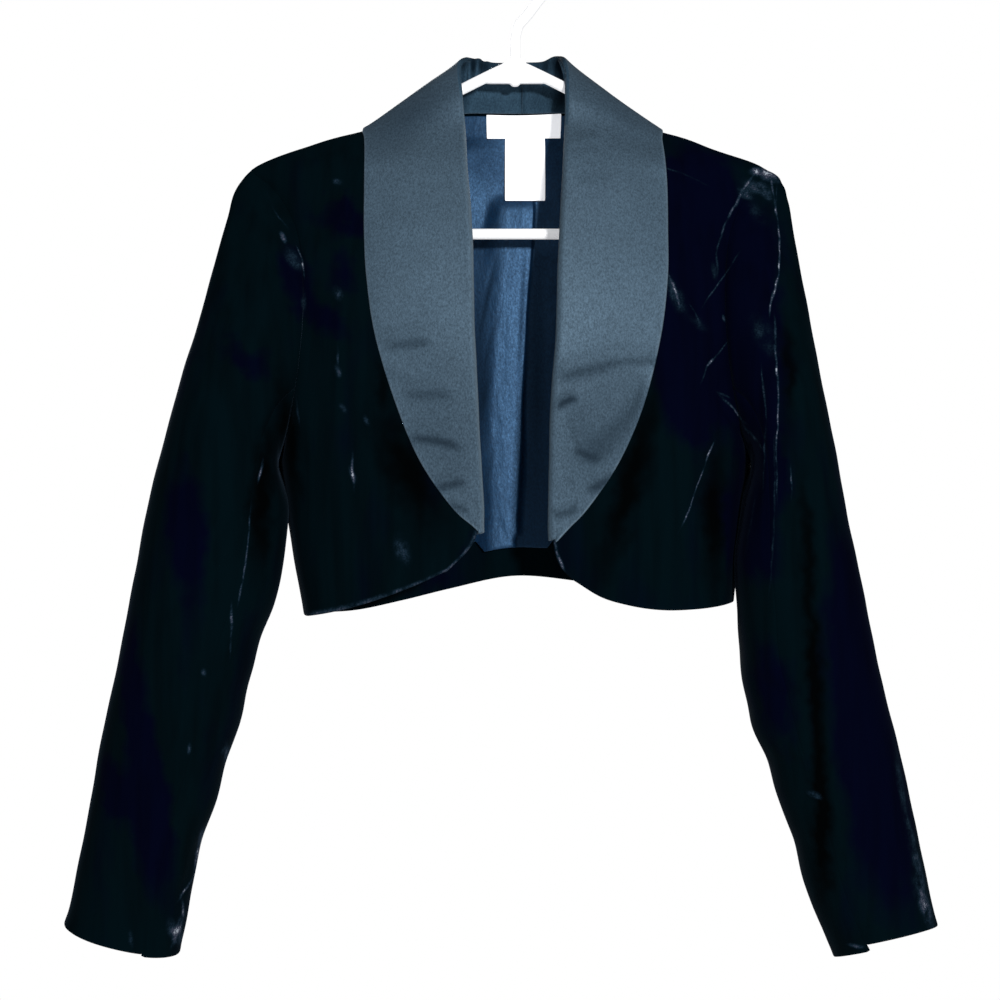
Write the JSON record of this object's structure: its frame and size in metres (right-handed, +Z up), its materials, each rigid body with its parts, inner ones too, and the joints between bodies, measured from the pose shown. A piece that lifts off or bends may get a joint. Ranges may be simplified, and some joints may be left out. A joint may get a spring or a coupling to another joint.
{
  "type": "cropped bolero jacket on a hanger",
  "caption": "Long-sleeved cropped velvet bolero jacket with a broad satin shawl collar and open cut-away fronts, hanging on a white tubular plastic hanger.",
  "frame": {"origin": "top of the inside of the hanger's hook, where a rail carries it", "axes": "+Z up along the hook's stem, -Y out of the jacket's front, +X to the right as the front is looked at"},
  "size_m": [0.6665, 0.1392, 0.7831],
  "materials": {
    "velvet": "dark blue-black velvet pile",
    "collar_satin": "slate blue satin",
    "lining": "blue lining satin",
    "label_tape": "bare white woven tape",
    "hanger_plastic": "smooth white plastic"
  },
  "bodies": {
    "root": {"front_right": "velvet", "front_left": "velvet", "back": "velvet", "upper_sleeve_right": "velvet", "under_sleeve_right": "velvet", "upper_sleeve_left": "velvet", "under_sleeve_left": "velvet", "collar_right": "collar_satin", "collar_left": "collar_satin", "back_lining": "lining", "neck_label": "label_tape", "care_label": "label_tape", "hanger": "hanger_plastic"}
  },
  "joints": []
}
